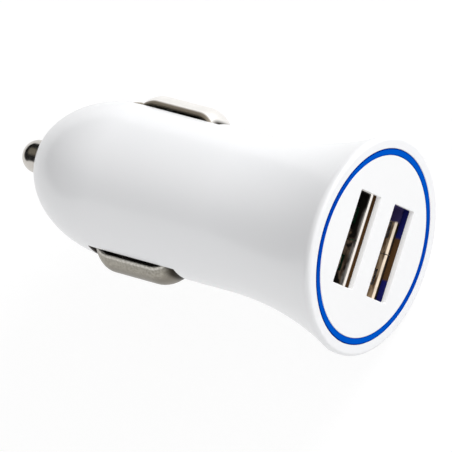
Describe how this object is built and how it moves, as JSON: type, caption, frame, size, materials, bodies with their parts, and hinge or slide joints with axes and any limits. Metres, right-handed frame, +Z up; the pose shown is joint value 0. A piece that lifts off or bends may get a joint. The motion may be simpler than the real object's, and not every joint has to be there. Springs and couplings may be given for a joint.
{
  "type": "usb car charger",
  "caption": "Trumpet-shaped car socket plug with stacked USB ports, a blue light ring, a sprung centre tip and bowed side contacts.",
  "frame": {"origin": "centre of the front face, on the plug's axis", "axes": "+Y along the axis from the front face to the nose tip; Z across the two stacked ports, +Z up; X along the ports' long sides and through the two side contacts"},
  "size_m": [0.0292, 0.0562, 0.0292],
  "materials": {
    "white_shell": "glossy white moulded plastic",
    "white_cap": "smooth white moulded plastic",
    "blue_guide": "translucent blue light guide",
    "polished_tip": "polished nickel-plated metal",
    "satin_contact": "satin nickel-plated spring strip",
    "spring_wire": "drawn spring wire",
    "cup_brass": "stamped brass",
    "port_steel": "stamped plated steel",
    "port_insulator": "black moulded insulator",
    "terminal_gold": "gold-plated strip",
    "board_green": "coated fibreglass board",
    "ferrite": "fired ferrite",
    "copper_wire": "enamelled copper wire",
    "can_sleeve": "sleeved aluminium can",
    "chip_black": "moulded chip case",
    "lamp_clear": "clear lamp on a white base",
    "chip_ceramic": "fired ceramic"
  },
  "bodies": {
    "charger": {"housing": "white_shell", "face_plate": "white_cap", "light_guide": "blue_guide", "tip_spring": "spring_wire", "spring_cup": "cup_brass", "circuit_board": "board_green", "inductor_core": "ferrite", "inductor_winding": "copper_wire", "input_capacitor": "can_sleeve", "output_capacitor": "can_sleeve", "converter_chip": "chip_black", "rectifier_diode": "chip_black", "current_chip": "chip_black", "input_fuse": "chip_ceramic", "led_left": "lamp_clear", "led_right": "lamp_clear", "chip_resistors": "chip_ceramic", "ceramic_capacitors": "chip_ceramic", "usb_shell_upper": "port_steel", "usb_insulator_upper": "port_insulator", "usb_terminal_upper_1": "terminal_gold", "usb_terminal_upper_2": "terminal_gold", "usb_terminal_upper_3": "terminal_gold", "usb_terminal_upper_4": "terminal_gold", "usb_shell_lower": "port_steel", "usb_insulator_lower": "port_insulator", "usb_terminal_lower_1": "terminal_gold", "usb_terminal_lower_2": "terminal_gold", "usb_terminal_lower_3": "terminal_gold", "usb_terminal_lower_4": "terminal_gold"},
    "tip": {"centre_tip": "polished_tip"},
    "contact_left": {"side_contact_left": "satin_contact"},
    "contact_right": {"side_contact_right": "satin_contact"}
  },
  "joints": [
    {"name": "tip_press", "type": "slide", "parent": "charger", "child": "tip", "axis": [0, -1, 0], "range_m": [0, 0.0025], "stiffness_N_per_m": 400, "springref_m": -0.004, "deforming": ["tip_spring"]},
    {"name": "contact_left_press", "type": "slide", "parent": "charger", "child": "contact_left", "axis": [1, 0, 0], "range_m": [0, 0.0016], "stiffness_N_per_m": 3000, "springref_m": -0.0003},
    {"name": "contact_right_press", "type": "slide", "parent": "charger", "child": "contact_right", "axis": [-1, 0, 0], "range_m": [0, 0.0016], "stiffness_N_per_m": 3000, "springref_m": -0.0003}
  ]
}
